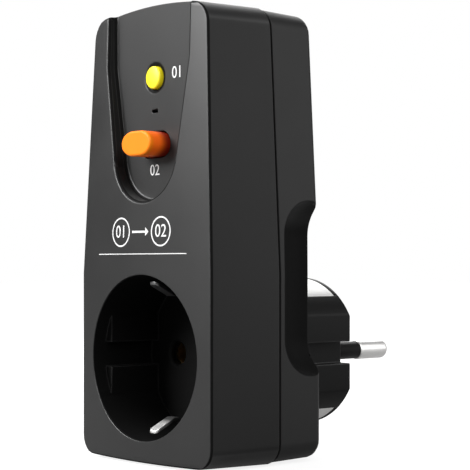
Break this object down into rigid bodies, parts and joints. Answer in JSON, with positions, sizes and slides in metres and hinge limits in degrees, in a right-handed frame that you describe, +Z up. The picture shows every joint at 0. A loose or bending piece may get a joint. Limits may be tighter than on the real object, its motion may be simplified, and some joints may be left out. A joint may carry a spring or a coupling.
{
  "type": "residual current adapter plug",
  "caption": "Black plug-in safety adapter: plug pins at the lower back, a round earthed socket low on the front, and a sunken panel with a yellow test button and an orange reset button.",
  "frame": {"origin": "centre of the plug end face, midway between the two pins", "axes": "+Y along the pins, towards the wall; +Z up the housing; +X to the right seen from the front"},
  "size_m": [0.0494, 0.0746, 0.1086],
  "materials": {
    "front_black": "black moulded plastic with a fine texture",
    "rear_black": "black moulded plastic with a fine texture",
    "plug_black": "black moulded plastic, satin",
    "sleeve_black": "black moulded sleeve",
    "pin_nickel": "nickel plated brass",
    "earth_nickel": "nickel plated spring brass",
    "contact_brass": "brass strip",
    "bar_copper": "copper strip",
    "reset_orange": "orange moulded plastic, satin",
    "test_yellow": "yellow moulded plastic, satin",
    "carrier_cream": "cream insulating plastic",
    "frame_cream": "cream insulating plastic",
    "flag_black": "black plastic",
    "steel": "plain steel",
    "spring_steel": "spring wire",
    "coil_copper": "enamelled copper winding",
    "board_green": "glass fibre board, green",
    "core_blue": "coated ring core",
    "resistor_beige": "lacquered resistor",
    "varistor_blue": "coated disc",
    "chip_black": "moulded chip",
    "screw_steel": "zinc plated steel"
  },
  "bodies": {
    "housing": {"front_shell": "front_black", "rear_cover": "rear_black", "plug_body": "plug_black", "plug_pin_left": "pin_nickel", "plug_pin_right": "pin_nickel", "pin_sleeve_left": "sleeve_black", "pin_sleeve_right": "sleeve_black", "earth_strip_top": "earth_nickel", "earth_strip_bottom": "earth_nickel", "socket_contact_left": "contact_brass", "socket_contact_right": "contact_brass", "supply_bar_left": "bar_copper", "supply_bar_right": "bar_copper", "reset_spring": "spring_steel", "test_contact": "contact_brass", "mechanism_frame": "frame_cream", "latch_pin": "steel", "coil_bobbin": "coil_copper", "coil_yoke": "steel", "plunger_spring": "spring_steel", "circuit_board": "board_green", "current_transformer": "core_blue", "test_resistor": "resistor_beige", "varistor": "varistor_blue", "control_chip": "chip_black", "housing_screws": "screw_steel"},
    "reset": {"reset_button": "reset_orange", "contact_carrier": "carrier_cream", "moving_contact_left": "contact_brass", "moving_contact_right": "contact_brass", "indicator_flag": "flag_black"},
    "test": {"test_button": "test_yellow"},
    "leaf": {"test_leaf": "contact_brass"},
    "plunger": {"coil_plunger": "steel"},
    "latch": {"latch_lever": "steel"}
  },
  "joints": [
    {"name": "reset_press", "type": "slide", "parent": "housing", "child": "reset", "axis": [0, 1, 0], "range_m": [0, 0.005], "stiffness_N_per_m": 1200, "springref_m": -0.004, "deforming": ["reset_spring"]},
    {"name": "test_press", "type": "slide", "parent": "housing", "child": "test", "axis": [0, 1, 0], "range_m": [0, 0.0009], "stiffness_N_per_m": 2000, "springref_m": -0.0005},
    {"name": "leaf_bend", "type": "hinge", "parent": "housing", "child": "leaf", "pos_m": [-0.0083, -0.03925, 0.066], "axis": [0, 0, 1], "range_deg": [0, 6.3]},
    {"name": "plunger_lift", "type": "slide", "parent": "housing", "child": "plunger", "axis": [0, 0, 1], "range_m": [0, 0.0016], "stiffness_N_per_m": 300, "springref_m": -0.002, "deforming": ["plunger_spring"]},
    {"name": "latch_turn", "type": "hinge", "parent": "housing", "child": "latch", "pos_m": [0.006, -0.037, 0.0608], "axis": [1, 0, 0], "range_deg": [0, 14.1]}
  ],
  "couplings": [
    {"joint": "leaf_bend", "follows": "test_press", "rad_per_m": 120.2},
    {"joint": "latch_turn", "follows": "plunger_lift", "rad_per_m": 152.7}
  ]
}
